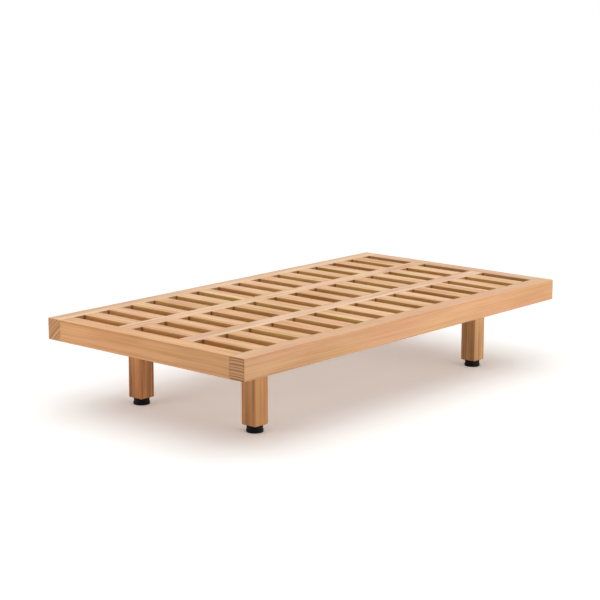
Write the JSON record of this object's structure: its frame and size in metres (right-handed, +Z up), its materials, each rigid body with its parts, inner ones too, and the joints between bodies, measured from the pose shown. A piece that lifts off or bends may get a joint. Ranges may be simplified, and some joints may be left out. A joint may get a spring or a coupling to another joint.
{
  "type": "wooden bed frame",
  "caption": "Low platform bed frame of pale pine: long side rails, flush cross slats halved under inner rails, square inset legs on round black levelling feet.",
  "frame": {"origin": "on the floor, under the middle of the deck", "axes": "+X along the bed's length, +Y across its width from the front rail to the back rail, +Z up"},
  "size_m": [1.9, 1, 0.352],
  "materials": {
    "pine": "planed and sanded pine, clear matt oil",
    "beech_dowel": "turned beech, bare",
    "zinc_steel": "bright zinc plated",
    "black_nylon": "moulded black nylon, satin"
  },
  "bodies": {
    "frame": {"front_rail": "pine", "back_rail": "pine", "left_end_rail": "pine", "right_end_rail": "pine", "inner_rail_front": "pine", "inner_rail_back": "pine", "slat_01": "pine", "slat_02": "pine", "slat_03": "pine", "slat_04": "pine", "slat_05": "pine", "slat_06": "pine", "slat_07": "pine", "slat_08": "pine", "slat_09": "pine", "slat_10": "pine", "slat_11": "pine", "slat_12": "pine", "slat_13": "pine", "slat_14": "pine", "bearer_left": "pine", "bearer_right": "pine", "leg_front_left": "pine", "leg_front_right": "pine", "leg_back_left": "pine", "leg_back_right": "pine", "corner_dowels": "beech_dowel", "bearer_screws": "zinc_steel", "tee_nuts": "zinc_steel", "leg_studs": "zinc_steel", "foot_inserts": "zinc_steel"},
    "screw_front_left": {"foot_screw_front_left": "zinc_steel"},
    "pad_front_left": {"foot_pad_front_left": "black_nylon"},
    "screw_front_right": {"foot_screw_front_right": "zinc_steel"},
    "pad_front_right": {"foot_pad_front_right": "black_nylon"},
    "screw_back_left": {"foot_screw_back_left": "zinc_steel"},
    "pad_back_left": {"foot_pad_back_left": "black_nylon"},
    "screw_back_right": {"foot_screw_back_right": "zinc_steel"},
    "pad_back_right": {"foot_pad_back_right": "black_nylon"}
  },
  "joints": [
    {"name": "front_left_rise", "type": "slide", "parent": "frame", "child": "screw_front_left", "axis": [0, 0, -1], "range_m": [-0.0023, 0.0091]},
    {"name": "front_left_turn", "type": "hinge", "parent": "screw_front_left", "child": "pad_front_left", "pos_m": [-0.67173, -0.293, 0.012], "axis": [0, 0, -1], "range_deg": [-540, 2160]},
    {"name": "front_right_rise", "type": "slide", "parent": "frame", "child": "screw_front_right", "axis": [0, 0, -1], "range_m": [-0.0023, 0.0091]},
    {"name": "front_right_turn", "type": "hinge", "parent": "screw_front_right", "child": "pad_front_right", "pos_m": [0.67173, -0.293, 0.012], "axis": [0, 0, -1], "range_deg": [-540, 2160]},
    {"name": "back_left_rise", "type": "slide", "parent": "frame", "child": "screw_back_left", "axis": [0, 0, -1], "range_m": [-0.0023, 0.0091]},
    {"name": "back_left_turn", "type": "hinge", "parent": "screw_back_left", "child": "pad_back_left", "pos_m": [-0.67173, 0.293, 0.012], "axis": [0, 0, -1], "range_deg": [-540, 2160]},
    {"name": "back_right_rise", "type": "slide", "parent": "frame", "child": "screw_back_right", "axis": [0, 0, -1], "range_m": [-0.0023, 0.0091]},
    {"name": "back_right_turn", "type": "hinge", "parent": "screw_back_right", "child": "pad_back_right", "pos_m": [0.67173, 0.293, 0.012], "axis": [0, 0, -1], "range_deg": [-540, 2160]}
  ],
  "couplings": [
    {"joint": "front_left_rise", "follows": "front_left_turn", "m_per_rad": 0.00023873},
    {"joint": "front_right_rise", "follows": "front_right_turn", "m_per_rad": 0.00023873},
    {"joint": "back_left_rise", "follows": "back_left_turn", "m_per_rad": 0.00023873},
    {"joint": "back_right_rise", "follows": "back_right_turn", "m_per_rad": 0.00023873}
  ]
}
